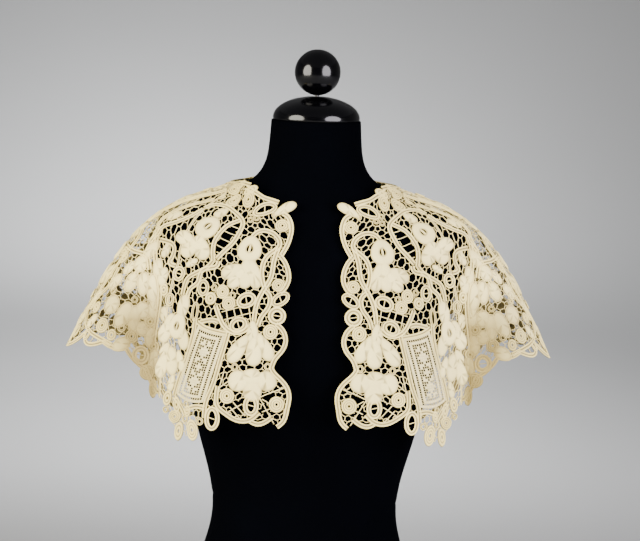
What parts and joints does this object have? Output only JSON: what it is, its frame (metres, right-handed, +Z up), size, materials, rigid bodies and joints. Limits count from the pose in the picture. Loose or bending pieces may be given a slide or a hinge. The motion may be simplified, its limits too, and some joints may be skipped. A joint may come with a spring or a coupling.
{
  "type": "dress collar on a tabletop dress form",
  "caption": "Wide cape collar of cream tape lace, open in front, with pointed shoulder wings, resting on a black limbless dress form with a flat base.",
  "frame": {"origin": "on the surface that the form stands on, under the middle of the bounding box", "axes": "+Z up, -Y to the front of the form, +X to the wearer's left"},
  "size_m": [0.6298, 0.2804, 0.818],
  "materials": {
    "lace": "cream cotton and linen tape lace, matt",
    "filet": "cream knotted net with darned squares, matt",
    "form_cover": "black cotton jersey, matt",
    "form_gloss": "black lacquer, glossy"
  },
  "bodies": {
    "root": {"collar_front_left": "lace", "collar_front_right": "lace", "collar_shoulder_left": "lace", "collar_shoulder_right": "lace", "collar_back": "lace", "filet_insert_left": "filet", "filet_insert_right": "filet", "form_torso": "form_cover", "form_neck_cap": "form_gloss", "form_finial": "form_gloss"}
  },
  "joints": []
}
